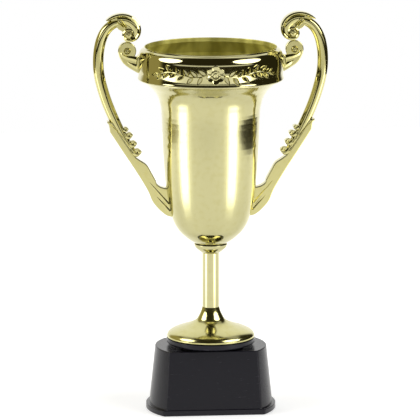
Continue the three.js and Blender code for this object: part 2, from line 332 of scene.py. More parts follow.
def noise(place, scale, detail=2.0, roughness=0.5):
    """Noise about 0.5, with blobs of about 1/scale millimetres."""
    return place.node(
        "ShaderNodeTexNoise", None,
        {"Vector": place, "Scale": scale, "Detail": detail, "Roughness": roughness},
    )


def stretched(place, x, y, z):
    """Coordinates multiplied along each axis; a small number draws a pattern out."""
    return place.node("ShaderNodeVectorMath", {"operation": "MULTIPLY"}, {0: place, 1: (x, y, z)})


def blend_colours(mask, first, second):
    """The first colour where the mask is 0, the second where it is 1."""
    return mask.node(
        "ShaderNodeMix", {"data_type": "RGBA"}, {0: mask, 6: (*first, 1.0), 7: (*second, 1.0)}, 2
    )


def bump(height, distance, strength):
    """A bump whose full height is a distance in millimetres."""
    return height.node(
        "ShaderNodeBump", None, {"Height": height, "Distance": distance * MM, "Strength": strength}
    )


# %% [markdown]
# ### Gold coating
# The cup is plastic with a vacuum-metallised coating: a mirror of aluminium under a yellow lacquer.
# It reflects like metal, so the shader is fully metallic, with a colour measured as reflectance.
# What tells it from solid gold is the skin: it follows the slight waviness of the moulding, and it
# has pin-sized specks where dust sat under the coating. Pieces are coated apart, so the bowl, the
# foot and the handles differ a little in colour and haze, and inside the cup hardly any metal lands.

# %% Gold coating
def make_gold(name, thick, thinned, haze):
    """The mirror coating: its colour where it is thick, its colour where it is thin, its haze."""
    finish, start, place = new_finish(name)
    waves = noise(place, 0.09, 1.0)
    skin = noise(place, 1.1, 2.0)
    speck_field = start.node("ShaderNodeTexVoronoi", None, {"Vector": place, "Scale": 0.22})
    specks = 1 - speck_field.between(0.025, 0.05)
    thin = noise(place, 0.35, 3.0).between(0.45, 0.75)
    colour = blend_colours(thin, thick, thinned)
    height = waves * 0.012 + skin * 0.0012 - specks * 0.02
    close_finish(start, {
        "Base Color": colour,
        "Metallic": 1.0,
        "Roughness": haze + thin * 0.03 + specks * 0.25,
        "Normal": bump(height, 1.0, 0.6),
    })
    return finish


gold = make_gold("gold_coating", (0.560, 0.526, 0.278), (0.542, 0.505, 0.252), 0.055)
bowl_gold = make_gold("gold_coating_bowl", (0.552, 0.520, 0.272), (0.532, 0.496, 0.242), 0.100)
foot_gold = make_gold("gold_coating_foot", (0.580, 0.545, 0.250), (0.560, 0.515, 0.215), 0.150)
handle_gold = make_gold("gold_coating_handles", (0.600, 0.556, 0.250), (0.580, 0.530, 0.215), 0.060)


def make_inside_gold():
    """The thin, uneven coating inside the cup, where the vapour hardly reached."""
    finish, start, place = new_finish("gold_coating_inside")
    streaks = noise(stretched(place, 1.0, 1.0, 0.06), 0.10, 2.0).between(0.35, 0.68)
    cloud = noise(place, 0.12, 3.0)
    close_finish(start, {
        "Base Color": blend_colours(streaks, (0.420, 0.380, 0.075), (0.850, 0.800, 0.240)),
        "Metallic": 0.55,
        "Roughness": 0.34 + cloud * 0.16,
        "Normal": bump(noise(place, 0.9, 2.0), 0.004, 0.5),
    })
    return finish


inside_gold = make_inside_gold()

# %% [markdown]
# ### Black plastic
# The base and the disc are plain black plastic with a fine moulded grain. It isn't an even black:
# rubbing leaves scuffs that run round the piece, and dust lies on it, so both lighten the colour.

# %% Black plastic
def make_black():
    """Black plastic with grain, scuffs and dust."""
    finish, start, place = new_finish("black_plastic")
    grain = noise(place, 3.0, 3.0, 0.6)
    scuff = noise(stretched(place, 0.25, 0.25, 1.6), 0.6, 5.0, 0.65).between(0.58, 0.78)
    dust = noise(place, 1.7, 4.0, 0.8).between(0.66, 0.72)
    wear = scuff * 0.35 + dust * 0.25
    close_finish(start, {
        "Base Color": blend_colours(wear, (0.0076, 0.0070, 0.0118), (0.038, 0.036, 0.046)),
        "Roughness": 0.20 + grain * 0.08 + scuff * 0.10,
        "Specular IOR Level": 0.27,
        "Normal": bump(grain, 0.02, 0.35),
    })
    return finish


black = make_black()

# %% [markdown]
# ### Zinc-plated steel
# The rod, nuts and washers are cheap hardware: bluish zinc with a dull bloom, finely brushed.

# %% Zinc-plated steel
def make_zinc():
    """Bright zinc that a bloom dulls in patches."""
    finish, start, place = new_finish("zinc_plate")
    brushed = noise(stretched(place, 1.0, 1.0, 9.0), 0.8, 3.0)
    bloom = noise(place, 0.5, 3.0).between(0.35, 0.7)
    close_finish(start, {
        "Base Color": blend_colours(bloom, (0.52, 0.53, 0.54), (0.40, 0.42, 0.45)),
        "Metallic": 1.0,
        "Roughness": 0.28 + brushed * 0.18,
        "Normal": bump(brushed, 0.02, 0.3),
    })
    return finish


zinc = make_zinc()
finishes = (gold, bowl_gold, foot_gold, handle_gold, inside_gold, black, zinc)
print("finishes:", [finish.name for finish in finishes])

# %% [markdown]
# ## Turned pieces
# The bowl, band, knuckle, stem, foot and disc are all shapes of revolution. Spinning an outline is
# one rule, so one geometry-node tree makes them all: a grid whose rows are angles and whose columns
# are the points of the outline is bent round the axis, and the points that meet are merged. The
# outline itself is a short list of corners and curves, in millimetres.

# %% Curves for outlines
def curve_through(points, steps):
    """A smooth curve through points, by the Catmull-Rom rule, with some steps between each two."""
    ends = [points[0], *points, points[-1]]
    made = []
    for i in range(len(points) - 1):
        a, b, c, d = (Vector(p) for p in ends[i:i + 4])
        for step in range(steps):
            t = step / steps
            tangent_b, tangent_c = (c - a) / 2, (d - b) / 2
            made.append(
                b * (2 * t**3 - 3 * t**2 + 1) + tangent_b * (t**3 - 2 * t**2 + t)
                + c * (3 * t**2 - 2 * t**3) + tangent_c * (t**3 - t**2)
            )
    made.append(Vector(points[-1]))
    return [tuple(p) for p in made]


def arc(x, y, radius_x, radius_y, start, end, steps):
    """Points of an elliptical arc; the angles are in degrees."""
    turns = [math.radians(start + (end - start) * i / steps) for i in range(steps + 1)]
    return [(x + radius_x * math.cos(t), y + radius_y * math.sin(t)) for t in turns]


def moved_left(points, distance):
    """A curve moved by a distance to the left of its direction."""
    made = []
    for i, (x, y) in enumerate(points):
        before, after = points[max(i - 1, 0)], points[min(i + 1, len(points) - 1)]
        along = Vector((after[0] - before[0], after[1] - before[1])).normalized()
        made.append((x - distance * along.y, y + distance * along.x))
    return made


def beside(radius, level, *offsets):
    """Points at distances (outwards, upwards) from one place of an outline."""
    return [(radius + out, level + up) for out, up in offsets]


def softened(points, radius, steps=3):
    """A closed outline whose corners are cut round by a radius."""
    made = []
    for i, here in enumerate(points):
        here = Vector(here)
        to_before = Vector(points[i - 1]) - here
        to_after = Vector(points[(i + 1) % len(points)]) - here
        cut_before = to_before.normalized() * min(radius, to_before.length * 0.45)
        cut_after = to_after.normalized() * min(radius, to_after.length * 0.45)
        for step in range(steps + 1):
            t = step / steps
            made.append(tuple(here + cut_before * (1 - t) ** 2 + cut_after * t**2))
    return made


def held(points, hold=0.12, long=0.8):
    """An outline with a point near each end of every long side, to hold its shading flat."""
    made = []
    for i, here in enumerate(points):
        here, after = Vector(here), Vector(points[(i + 1) % len(points)])
        made.append(tuple(here))
        step = after - here
        if step.length > long:
            made.append(tuple(here + step.normalized() * hold))
            made.append(tuple(after - step.normalized() * hold))
    return made


# %% The turning tree
def group_tree(name, sockets):
    """A geometry tree with one geometry output; returns it and its input wires."""
    tree = bpy.data.node_groups.new(name, "GeometryNodeTree")
    for label, kind in sockets:
        tree.interface.new_socket(name=label, in_out="INPUT", socket_type="NodeSocket" + kind)
    tree.interface.new_socket(name="Geometry", in_out="OUTPUT", socket_type="NodeSocketGeometry")
    entry = tree.nodes.new("NodeGroupInput")
    inputs = {label: Wire(tree, entry.outputs[label]) for label, _ in sockets}
    return tree, inputs


def close_tree(start, shape, finish):
    """Ends a tree: smooth faces, one plain mesh, its finish."""
    shape = start.node("GeometryNodeSetShadeSmooth", None, {0: shape})
    shape = start.node("GeometryNodeRealizeInstances", None, {0: shape})
    shape = start.node("GeometryNodeSetMaterial", None, {"Geometry": shape, "Material": finish})
    start.node("NodeGroupOutput", None, {"Geometry": shape})


def make_turning_tree():
    """A grid bent round the axis: its rows are angles, its columns the points of the outline."""
    tree, given = group_tree("turning", [
        ("Outline", "Geometry"), ("Outline Points", "Int"), ("Segments", "Int"), ("Finish", "Material"),
    ])
    start = Wire(tree)
    points, segments = given["Outline Points"], given["Segments"]
    grid = start.node("GeometryNodeMeshGrid", None, {"Vertices X": segments + 1, "Vertices Y": points})
    index = start.node("GeometryNodeInputIndex")
    row = start.math("FLOOR", (index + 0.5) / points)
    column = index - row * points
    place = start.node("GeometryNodeInputPosition")
    outline = start.node(
        "GeometryNodeSampleIndex", {"data_type": "FLOAT_VECTOR"},
        {0: given["Outline"], "Value": place, "Index": column + 0.5},
    )
    radius, _, height = parts_of(outline)
    turn = row * (2 * math.pi) / segments
    bent = combine(radius * start.math("COSINE", turn), radius * start.math("SINE", turn), height)
    shape = start.node("GeometryNodeSetPosition", None, {"Geometry": grid, "Position": bent})
    shape = start.node("GeometryNodeMergeByDistance", None, {"Geometry": shape, "Distance": 1e-6})
    close_tree(start, shape, given["Finish"])
    return tree


turning = make_turning_tree()

# %% Baking a tree into a plain mesh
def drawn(name, points, edges=(), faces=()):
    """A linked object from points in millimetres."""
    mesh = bpy.data.meshes.new(name)
    mesh.from_pydata([tuple(c * MM for c in point) for point in points], edges, faces)
    return linked(name, mesh)


def plain_mesh(name, source, tree, values, crease=32):
    """Runs a geometry tree on an object, keeps its result as a plain mesh and drops the object."""
    modifier = source.modifiers.new("tree", "NODES")
    modifier.node_group = tree
    for item in tree.interface.items_tree:
        if item.in_out == "INPUT" and item.name in values:
            modifier[item.identifier] = values[item.name]
    bpy.context.view_layer.update()
    depsgraph = bpy.context.evaluated_depsgraph_get()
    mesh = bpy.data.meshes.new_from_object(source.evaluated_get(depsgraph))
    bpy.data.objects.remove(source)
    # The source has no finish of its own, which leaves an empty first slot.
    while mesh.materials[0] is None:
        mesh.materials.pop(index=0)
    return finished_object(name, mesh, crease)


def finished_object(name, mesh, crease, flat_sides=False):
    """Turns a mesh's faces outwards, marks its creases (in degrees) and links it as a piece."""
    shape = bmesh.new()
    shape.from_mesh(mesh)
    if shape.calc_volume(signed=True) < 0:
        bmesh.ops.reverse_faces(shape, faces=shape.faces)
    for face in shape.faces:
        face.smooth = True
    shape.to_mesh(mesh)
    shape.free()
    mesh.set_sharp_from_angle(angle=math.radians(crease))
    mesh.name = name
    piece = linked(name, mesh)
    if flat_sides:
        even = piece.modifiers.new("even_shading", "WEIGHTED_NORMAL")
        even.keep_sharp = True
    print(name, "has", len(mesh.polygons), "faces")
    return piece


def turned(name, outline, finish, segments=160):
    """A shape of revolution from a closed outline of (radius, level) in millimetres."""
    outline = held(outline)
    points = [(radius, 0.0, level) for radius, level in [*outline, outline[0]]]
    source = drawn(name + "_outline", points)
    values = {"Outline Points": len(points), "Segments": segments, "Finish": finish}
    return plain_mesh(name, source, turning, values)


def stand_for(piece, slot, *nodes):
    """A finished piece rides on the body and stands for its nodes, which it hides; the slot is not used."""
    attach(piece, "root")
    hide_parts(*nodes)


# %% [markdown]
# ### Foot
# The foot sweeps up from a short upright rim, over a round shoulder, into a hollow cone that grows
# into the stem. The real foot is a thin shell with a sleeve for the rod, and its underside can be
# seen when the trophy is taken apart, so the outline goes down the inside as well. The inside is the
# outside moved in by the wall, which keeps the wall even wherever the outside is changed.

# %% Foot
foot_wall = 1.3
sleeve_radius = rod_bore + 1.4
foot_outside = curve_through([
    *beside(foot_radius, foot_bottom, (0, 0.25), (-0.1, 1.3), (-1.0, 2.7), (-3.0, 4.0), (-6.4, 5.4),
            (-10.4, 6.7), (-13.9, 8.1), (-16.4, 9.7)),
    *beside(stem_radius, foot_bottom, (1.95, 11.9), (0.85, 14.2)),
    (stem_radius + 0.12, foot_top - hair),
], 7)
foot_inside = [p for p in moved_left(foot_outside, foot_wall) if p[0] > sleeve_radius + 0.5][::-1]
foot = turned("foot_shell", [
    (foot_radius - foot_wall, foot_bottom),
    (foot_radius - 0.25, foot_bottom),
    *foot_outside,
    (rod_bore, foot_top),
    (rod_bore, foot_bottom),
    (sleeve_radius, foot_bottom),
    (sleeve_radius, foot_inside[0][1]),
    *foot_inside,
], foot_gold)
stand_for(foot, "gold_plating", "foot")

# %% [markdown]
# ### Stem and knuckle
# The stem is a plain tube that slips over the rod, and the knuckle is a small cup that widens from
# it to the round bottom of the bowl. A cylinder would do for the tube, but the turning tree gives
# it the same small round edges and the same bore as its neighbours.

# %% Stem and knuckle
stem = turned("stem_tube", softened([
    (rod_bore, foot_top - hair),
    (stem_radius, foot_top - hair),
    (stem_radius, knuckle_bottom + 2 * hair),
    (rod_bore, knuckle_bottom + 2 * hair),
], 0.08), gold, segments=96)
stand_for(stem, "gold_plating", "stem")

knuckle = turned("knuckle_cup", [
    (rod_bore, knuckle_bottom),
    (stem_radius + 0.05, knuckle_bottom),
    *curve_through([
        *beside(stem_radius, knuckle_bottom, (0.25, 0.05), (1.0, 0.55)),
        *beside(knuckle_radius, knuckle_bottom, (-2.2, 1.6), (-0.6, 3.1), (-0.1, 4.4)),
        (knuckle_radius, knuckle_top - 0.3),
    ], 6),
    (knuckle_radius - 0.1, knuckle_top),
    (rod_bore, knuckle_top),
], gold, segments=128)
stand_for(knuckle, "gold_plating", "knuckle")

# %% [markdown]
# ### Bowl
# The bowl is a deep bell: a round bottom, sides that open very slowly, and a cove that turns out
# under the crown band. Its wall is thin, and the inside is seen through the mouth, so the outline
# runs up the outside, over the flange, and back down inside to the floor where the rod comes up.

# %% Bowl shell
bowl_wall = 1.3
belly_radius = 27.2
cove_height = 18.6
cove_start = flange_top - bowl_wall - cove_height
bowl_outside = curve_through([
    (knuckle_radius - 0.3, bowl_bottom - hair),
    *beside(belly_radius, bowl_bottom, (-14.9, 2.1), (-12.2, 4.3), (-9.7, 6.8), (-7.6, 9.9),
            (-6.0, 13.4), (-4.5, 18.6), (-3.0, 26.0), (-1.8, 37.0), (-0.75, 52.0)),
    *beside(belly_radius, cove_start, (0, -1.0), (0.95, 5.4), (2.2, 9.2), (4.7, 12.8), (8.0, 15.9)),
    *beside(flange_radius, flange_top - bowl_wall, (-0.9, -0.4), (0, 0.1)),
], 6)
bowl_floor = bowl_bottom + 1.7
bowl_inside = [p for p in moved_left(bowl_outside, bowl_wall) if p[1] > bowl_floor + 0.3][::-1]
bowl = turned("bowl_shell", [
    (rod_bore, bowl_bottom - hair),
    *bowl_outside,
    *bowl_inside,
    (bowl_inside[-1][0] - 0.8, bowl_floor),
    (rod_bore, bowl_floor),
], bowl_gold, segments=192)
stand_for(bowl, "gold_plating", "bowl")

# %% [markdown]
# ### Inside of the bowl
# The same shell has two finishes. A second shell inside would leave two skins in one place, so the
# inner faces of the piece take a second material instead: those that look at the axis, or up.

# %% Inside of the bowl
towards_axis = -0.0003
nearly_up = 0.97


def coat_inside(piece, floor):
    """Gives the thin coating to the faces above a level that look towards the axis, or up."""
    piece.data.materials.append(inside_gold)
    inside_index = len(piece.data.materials) - 1
    inner = 0
    for face in piece.data.polygons:
        place, normal = face.center, face.normal
        inwards = normal.x * place.x + normal.y * place.y
        if place.z > floor * MM and (inwards < towards_axis or normal.z > nearly_up):
            face.material_index = inside_index
            inner += 1
    print(piece.name, "has", inner, "faces inside")


coat_inside(bowl, bowl_floor - 0.1)

# %% [markdown]
# ### Crown band
# The band caps the flange. From the bottom it has a small round edge, an upright wall that bulges a
# little where the garland sits, a convex shoulder, and a thin upright lip around the mouth. The
# light line over the dark shoulder comes from that lip, so it gets its own few points. Under
# the lip the inside steps back to the wall, and it has the same thin coating as the bowl.

# %% Crown band
band_wall = 1.3
band_inner = band_radius - band_wall
edge_round = 0.9
wall_top = band_bottom + 12.6
mouth_radius = 36.1
shoulder_run, shoulder_rise = band_radius - mouth_radius - 1.18, 5.2
band = turned("crown_band_shell", [
    (band_inner, band_bottom),
    (band_radius - edge_round, band_bottom),
    *arc(band_radius - edge_round, band_bottom + edge_round, edge_round, edge_round, -75, -5, 5),
    *curve_through([
        *beside(band_radius, band_bottom, (-0.12, 1.3), (-0.34, 2.3), (-0.36, 3.6), (-0.16, 6.4),
                (-0.12, 8.2)),
        (band_radius - 0.24, wall_top - 1.4),
    ], 4),
    *arc(mouth_radius + 0.9, wall_top - 0.8, shoulder_run, shoulder_rise, 5, 78, 12),
    *beside(mouth_radius, mouth_top, (0.82, -0.72), (0.56, -0.62), (0.50, -0.14), (0.38, 0),
            (0.10, -0.03), (-0.05, -0.30), (-0.25, -2.2)),
    (band_inner - 0.5, wall_top - 1.8),
    (band_inner, wall_top - 3.2),
    (band_inner, flange_top + 0.3),
], gold, segments=192)
stand_for(band, "gold_plating", "crown_band")
coat_inside(band, flange_top)

# %% [markdown]
# ### Riser disc
# A black disc lifts the foot off the base. Its spigot is narrower than the disc and hardly a
# millimetre high, which is what makes the dark gap above the base.

# %% Riser disc
spigot_radius, spigot_height = 17.5, 1.0
disc_bevel = 0.7
disc = turned("riser_disc_body", softened([
    (rod_bore, disc_bottom),
    (spigot_radius, disc_bottom),
    (spigot_radius, disc_bottom + spigot_height),
    (disc_radius - disc_bevel, disc_bottom + spigot_height),
    (disc_radius, disc_bottom + spigot_height + disc_bevel),
    (disc_radius, disc_top),
    (rod_bore, disc_top),
], 0.25), black)
stand_for(disc, "black_plastic", "riser_disc")

# %% [markdown]
# ## Pieces made of loops
# The plinth and the handles are not turned. They are skins over rows of points: each row is a loop,
# and neighbouring loops are joined by faces. A small class gathers such closed bodies in
# millimetres, and one piece may hold many of them, as a moulding holds many ornaments.

# %% A carving
class Carving:
    """Closed bodies, in millimetres, that make one piece together."""

    def __init__(self, name):
        self.name = name
        self.points = []
        self.faces = []

    def skin(self, loops, joined=False):
        """Faces between loops; the end loops are closed, or joined to each other."""
        first, count = len(self.points), len(loops[0])
        for loop in loops:
            self.points.extend(loop)
        rows = [first + i * count for i in range(len(loops))]
        for low, high in zip(rows, rows[1:] + (rows[:1] if joined else [])):
            for j in range(count):
                k = (j + 1) % count
                self.faces.append((low + j, low + k, high + k, high + j))
        if not joined:
            self.faces.append(tuple(range(rows[0], rows[0] + count)))
            self.faces.append(tuple(range(rows[-1], rows[-1] + count)))

    def piece(self, finish, turn=0.0, crease=32):
        """The carving as a finished piece, turned about the upright axis by an angle."""
        c, s = math.cos(turn), math.sin(turn)
        points = [((x * c - y * s) * MM, (x * s + y * c) * MM, z * MM) for x, y, z in self.points]
        mesh = bpy.data.meshes.new(self.name)
        mesh.from_pydata(points, [], self.faces)
        shape = bmesh.new()
        shape.from_mesh(mesh)
        bmesh.ops.recalc_face_normals(shape, faces=shape.faces)
        shape.to_mesh(mesh)
        shape.free()
        mesh.materials.append(finish)
        return finished_object(self.name, mesh, crease, flat_sides=True)


# %% [markdown]
# ## Base
# The plinth is a cut cone: round at the sides, flat in front and behind, on a thin lip. Each level
# is the same loop with its own radius and its own distance to the flat, with small round corners.
# It is hollow underneath, with a boss for the rod, so the loops run up the outside, over the top,
# down the bore, round the boss and down the inner wall.

# %% Plinth loops
def plinth_loop(radius, flat, level, corner=0.9, arc_steps=36, flat_steps=6):
    """A circle cut by two flats, with round corners between."""
    swing = math.degrees(math.asin(min(flat / radius, 1.0)))
    gap = math.degrees(corner / radius)
    side = arc(0, 0, radius, radius, -swing + gap, swing - gap, arc_steps)
    tip = Vector((radius * math.cos(math.radians(swing)), flat))
    end = Vector(side[-1])
    start_flat = Vector((tip.x - corner, flat))
    bend = [
        tuple(end * (1 - t) ** 2 + tip * 2 * t * (1 - t) + start_flat * t**2)
        for t in (0.25, 0.5, 0.75)
    ]
    across = [(start_flat.x * (1 - 2 * i / flat_steps), flat) for i in range(flat_steps + 1)]
    mirrored = [(-x, y) for x, y in reversed(bend)]
    half = [*side, *bend, *across, *mirrored]
    return [(x, y, level) for x, y in [*half, *[(-x, -y) for x, y in half]]]


def round_loop(radius, like, level):
    """A circle whose points have the directions of another loop's."""
    turns = [math.atan2(y, x) for x, y, _ in like]
    return [(radius * math.cos(t), radius * math.sin(t), level) for t in turns]


# %% Plinth
lip_height = 3.2
lip_step = 0.4
foot_of_cone, top_of_cone = lip_radius - 1.8, lip_radius - 5.2
foot_of_flat, top_of_flat = lip_flat - lip_step, lip_flat - 3.6
base_wall = 2.0
boss_radius, boss_bottom = 8.0, 9.0


def cone_loop(level, inset=0.0):
    """The plinth's loop at a level, moved in by a wall."""
    share = (level - lip_height) / (base_top - lip_height)
    radius = foot_of_cone + (top_of_cone - foot_of_cone) * share
    flat = foot_of_flat + (top_of_flat - foot_of_flat) * share
    return plinth_loop(radius - inset, flat - inset, level)


plinth = Carving("plinth")
top_edge = 0.45
top_loops = []
for turn in [math.pi / 8 * i for i in range(5)]:
    inset, drop = top_edge * (1 - math.cos(turn)), top_edge * (1 - math.sin(turn))
    top_loops.append(cone_loop(base_top - drop, inset))
rim = round_loop(rod_bore, top_loops[-1], base_top)
plinth.skin([
    plinth_loop(lip_radius - 0.3, lip_flat - 0.3, 0.0),
    plinth_loop(lip_radius, lip_flat, 0.3),
    plinth_loop(lip_radius, lip_flat, lip_height - 0.45),
    plinth_loop(lip_radius - 0.15, lip_flat - 0.08, lip_height - 0.15),
    plinth_loop(lip_radius - 0.5, lip_flat - 0.25, lip_height),
    plinth_loop(foot_of_cone + 0.25, foot_of_flat + 0.08, lip_height),
    cone_loop(lip_height + 0.3),
    cone_loop((lip_height + base_top) / 2),
    *top_loops,
    round_loop(boss_radius, rim, base_top),
    rim,
    [(x, y, boss_bottom) for x, y, _ in rim],
    round_loop(boss_radius, rim, boss_bottom),
    round_loop(boss_radius, rim, base_top - base_wall),
    cone_loop(base_top - base_wall, base_wall),
    cone_loop(lip_height, base_wall),
    plinth_loop(foot_of_cone - base_wall + 0.3, foot_of_flat - base_wall + 0.3, 0.0),
], joined=True)
stand_for(plinth.piece(black, crease=25), "black_plastic", "base")

# %% [markdown]
# ## Handles
# A handle is a flat moulding with ornament on its front and back. From the top it has a cap strip
# that winds into a scroll, three slanting ridges and a petal under the strip, a bar with stripes cut
# along it, an arm with a second scroll, and a leaf bracket with curls along its inner edge. Every
# ornament is a section swept along a curve, a plate with worked edges, or a round button, so three
# functions make them all. The two handles are the same moulding, turned half round.

# %% Sweeps and plates
def smooth_steps(values, count):
    """A list of numbers stretched evenly to a count, with straight lines between."""
    made = []
    for i in range(count):
        at = i * (len(values) - 1) / max(count - 1, 1)
        low = min(int(at), len(values) - 2)
        made.append(values[low] + (values[low + 1] - values[low]) * (at - low))
    return made


def mirrored_section(half):
    """A section from its front half: (across, depth), from one edge to the other."""
    return [*half, *[(u, -v) for u, v in reversed(half)]]


def sweep(carving, spine, widths, depths, half, joined=False):
    """A section along a curve of (x, z); widths and depths are half sizes, spread along the way."""
    count = len(spine)
    wide, deep = smooth_steps(widths, count), smooth_steps(depths, count)
    section = mirrored_section(half)
    loops = []
    for i, (x, z) in enumerate(spine):
        before = spine[i - 1] if joined or i else spine[0]
        after = spine[(i + 1) % count] if joined or i < count - 1 else spine[-1]
        along = Vector((after[0] - before[0], after[1] - before[1])).normalized()
        loops.append([
            (x - along.y * u * wide[i], -v * deep[i], z + along.x * u * wide[i]) for u, v in section
        ])
    carving.skin(loops, joined)


def plate(carving, outline, depth, edge, steps=3, drop=None):
    """A flat plate with round edges, or bevelled ones with one step; the outline runs anticlockwise."""
    count = len(outline)
    inward = []
    for i, here in enumerate(outline):
        here = Vector(here)
        a = (here - Vector(outline[i - 1])).normalized()
        b = (Vector(outline[(i + 1) % count]) - here).normalized()
        left = Vector((-(a + b).y, (a + b).x)).normalized()
        square = max(left.dot(Vector((-a.y, a.x))), 0.4)
        inward.append(left / square)
    turns = [math.pi / 2 * i / steps for i in range(steps + 1)]
    fall = drop or edge
    rims = [(edge * (1 - math.cos(t)), depth - fall + fall * math.sin(t)) for t in turns]
    levels = [(inset, -y) for inset, y in reversed(rims)] + rims
    carving.skin([
        [(x + n.x * inset, -y, z + n.y * inset) for (x, z), n in zip(outline, inward)]
        for inset, y in levels
    ])


def button(carving, centre, radius, depth, dimple, sides=32):
    """A round button on the front and back, with a dimple."""
    rings = [
        (radius, 0.0), (radius, depth - 0.25), (radius - 0.08, depth - 0.08), (radius - 0.25, depth),
        (dimple + 0.12, depth), (dimple, depth - 0.1), (dimple * 0.7, depth - 0.5), (0.05, depth - 0.6),
    ]
    rings = [(r, -y) for r, y in reversed(rings[1:])] + rings
    turns = [2 * math.pi * i / sides for i in range(sides)]
    carving.skin([
        [(centre[0] + r * math.cos(t), -y, centre[1] + r * math.sin(t)) for t in turns]
        for r, y in rings
    ])


# %% [markdown]
# ### Places on the handle
# A handle's places are said as a maker would measure them: how far outside the band, and how far
# above the middle of the arm. The bracket lies along the bowl, so its places there start from the
# bowl's own wall at their level.

# %% Places on the handle
arm_level = band_bottom + 7.2
tongue_level = arm_level - 75.0


def on_handle(out, up):
    """A point of the handle: how far outside the band, and how far above the arm's middle."""
    return band_radius + out, arm_level + up


def handle_line(*places, steps=0):
    """Points of the handle or, with steps, a smooth curve through them."""
    points = [on_handle(out, up) for out, up in places]
    return curve_through(points, steps) if steps else points


def bowl_radius_at(level):
    """The outside radius of the bowl's belly at a level."""
    for (r0, z0), (r1, z1) in zip(bowl_outside, bowl_outside[1:]):
        if z0 <= level <= z1:
            return r0 + (r1 - r0) * (level - z0) / (z1 - z0)
    return belly_radius


def beside_bowl(gap, up):
    """A point outside the bowl's wall by a gap, and above the arm's middle."""
    return bowl_radius_at(arm_level + up) + gap, arm_level + up


upper_eye = on_handle(4.8, 18.1)
lower_eye = on_handle(5.8, 9.0)


def about(centre, radius, degrees):
    """A point at a distance and a direction from a centre."""
    turn = math.radians(degrees)
    return centre[0] + radius * math.cos(turn), centre[1] + radius * math.sin(turn)


scroll_start, scroll_close, scroll_end = 32.0, 270.0, 610.0
close_radius, tip_reach, turn_loss = 4.2, 11.0, 1.35


def scroll_radius(degrees):
    """The outer edge of the top scroll: wide at the strip's tip, then a close spiral."""
    left = max((scroll_close - degrees) / (scroll_close - scroll_start), 0.0)
    inside = max(degrees - scroll_close, 0.0) / 360.0
    return close_radius + tip_reach * left**1.7 - turn_loss * inside


# %% Sections
# Each is the front half of a section, from its right edge to its left edge along the way. Its points
# are (across, depth), as shares of the sweep's half sizes.
ridge = [(-1.0, 0.62), (-0.86, 0.84), (-0.14, 1.0), (0.10, 0.99), (0.80, 0.80), (1.0, 0.58)]
round_bead = [(math.cos(t), math.sin(t)) for t in [math.pi * i / 8 for i in range(9)]][::-1]
petal_section = [(-1.0, 0.86), (-0.88, 0.93), (-0.3, 1.0), (0.4, 0.98), (0.86, 0.88), (1.0, 0.74)]
bar_section = [
    (-1.0, 0.25), (-0.94, 0.48), (-0.82, 0.64), (-0.50, 0.85), (-0.46, 0.82), (-0.41, 0.90),
    (-0.18, 0.98), (0.12, 1.0), (0.42, 0.96), (0.60, 0.88), (0.66, 0.80), (0.91, 0.48), (1.0, 0.25),
]
# A step is nearly level on its lower side and falls steeply on its upper side.
step_section = [(-1.0, 0.84), (-0.1, 1.0), (0.15, 0.99), (1.0, 0.72)]
flat_bead = [(-1.0, 0.68), (-0.58, 0.97), (0.0, 1.0), (0.58, 0.97), (1.0, 0.68)]

# %% [markdown]
# ### Top scroll
# The cap strip starts in a pointed tip, runs over the top and winds in to a button, as a fern does.
# Its outer edge is a spiral that closes fast at first and then slowly, so one formula places the
# strip, the thin plate behind it and the petal below it. All turns are in degrees about the eye.

# %% Top scroll
strip_half = 1.05
strip_thinning = 0.5 / (scroll_end - scroll_close)
turn_step = 8


def carve_top_scroll(carving):
    """The strip, the plate behind it, the petal under it and the button in the eye."""
    steps = int((scroll_end - scroll_start) / turn_step) + 1
    strip_turns = [scroll_start + turn_step * i for i in range(steps)]
    half_widths = [strip_half - strip_thinning * max(t - scroll_close, 0.0) for t in strip_turns]
    half_widths[:2] = 0.35, 0.85  # the pointed tip
    spine = [about(upper_eye, scroll_radius(t) - strip_half + (strip_half - w) * 0.6, t)
             for t, w in zip(strip_turns, half_widths)]
    sweep(carving, spine, half_widths, [handle_half_depth - 0.4] * 2, ridge)
    backing = [about(upper_eye, scroll_radius(t) - 0.7, t) for t in range(40, 392, turn_step)]
    plate(carving, [*backing, on_handle(10.5, 21.0)], 1.9, 0.3, 2)
    petal_turns = [50.0 + turn_step * i for i in range(24)]
    widths = smooth_steps([2.0, 1.9, 1.55, 1.15, 0.6], len(petal_turns))
    petal = [about(upper_eye, scroll_radius(t) - 2.35 - w, t) for t, w in zip(petal_turns, widths)]
    sweep(carving, petal, widths, [2.5, 2.7, 2.6, 2.3], petal_section)
    button(carving, upper_eye, 1.55, handle_half_depth - 0.5, 0.62)


# %% [markdown]
# ### Bar and ridges
# The bar bends down from under the strip to the bracket. Its section has a groove and two chamfers,
# because long stripes of light and dark run down the real one. Three ridges, like the folds of a
# cuff, slant across the place where it comes out under the strip.

